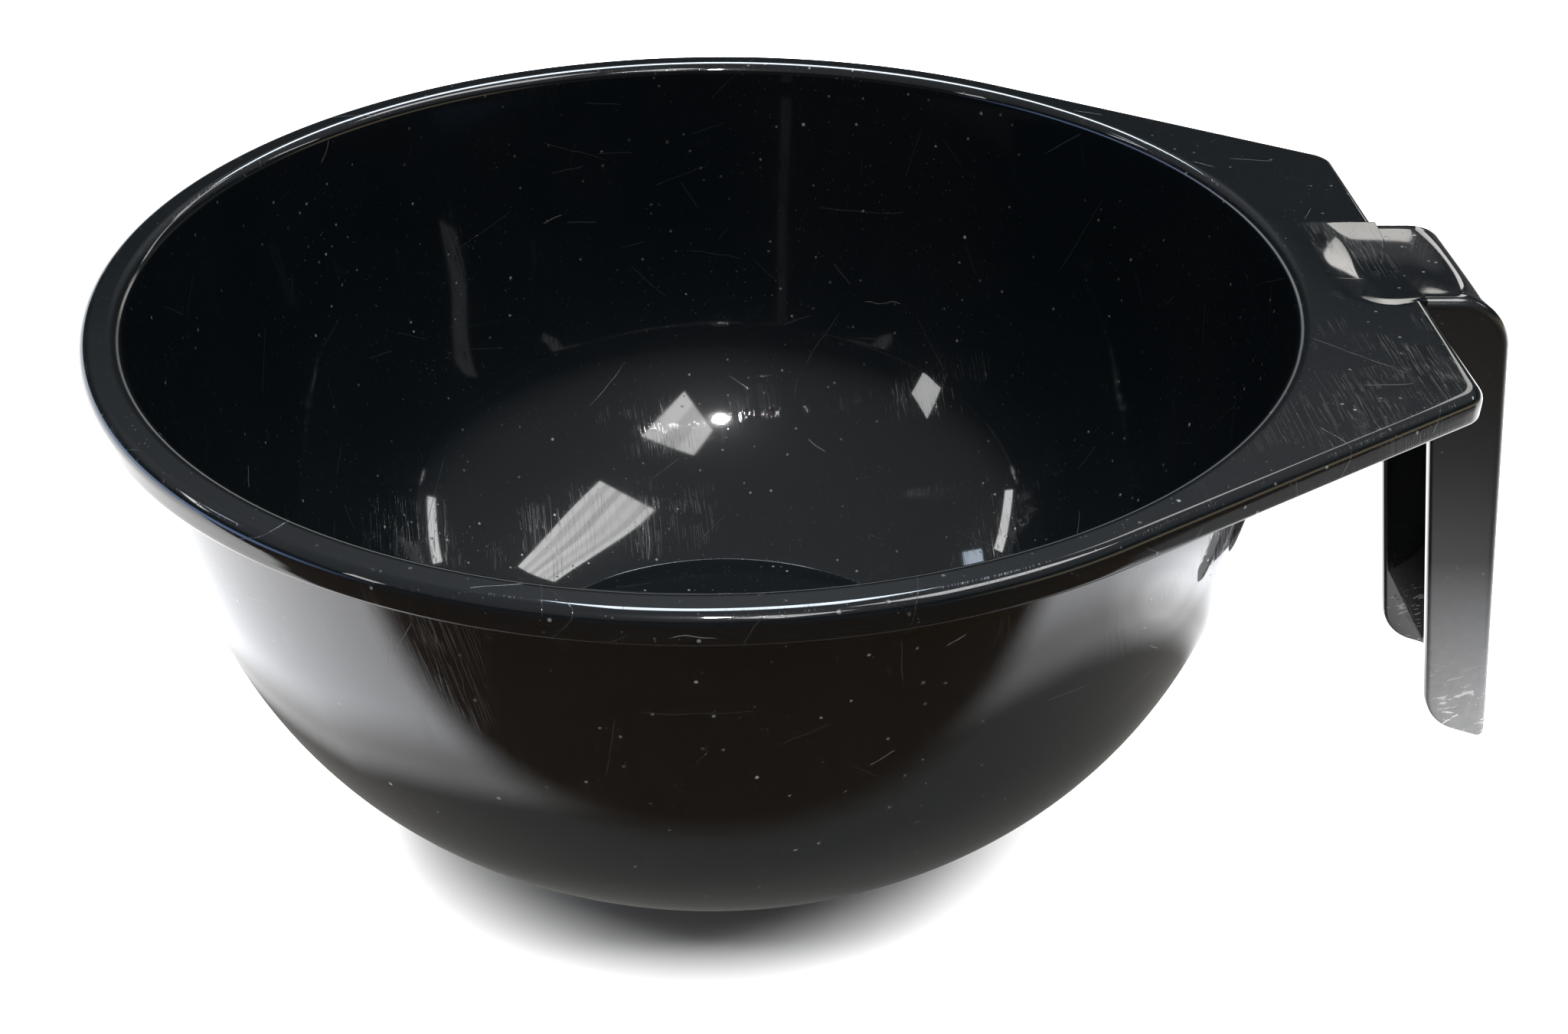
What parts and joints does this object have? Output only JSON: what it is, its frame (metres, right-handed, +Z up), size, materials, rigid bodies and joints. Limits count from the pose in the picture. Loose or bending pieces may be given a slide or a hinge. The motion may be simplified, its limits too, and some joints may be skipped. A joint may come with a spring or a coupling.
{
  "type": "hair colour mixing bowl",
  "caption": "Round glossy black tint bowl with a flared rim tab, a U-channel hook grip and a push-in rubber foot.",
  "frame": {"origin": "on the bowl's axis, in the plane that the rubber foot stands on", "axes": "+X from the bowl's axis towards the hook grip, +Z up along the bowl's axis, +Y to the left of the grip seen from the bowl; the part is symmetric about the XZ plane"},
  "size_m": [0.1563, 0.13, 0.0665],
  "materials": {
    "bowl_plastic": "polished injection-moulded polypropylene, fine scratches and dust",
    "grip_plastic": "polished injection-moulded polypropylene, scuffed at the lower end",
    "foot_rubber": "satin black thermoplastic elastomer with ring tread"
  },
  "bodies": {
    "root": {"bowl": "bowl_plastic", "hook_grip": "grip_plastic", "rubber_foot": "foot_rubber"}
  },
  "joints": []
}
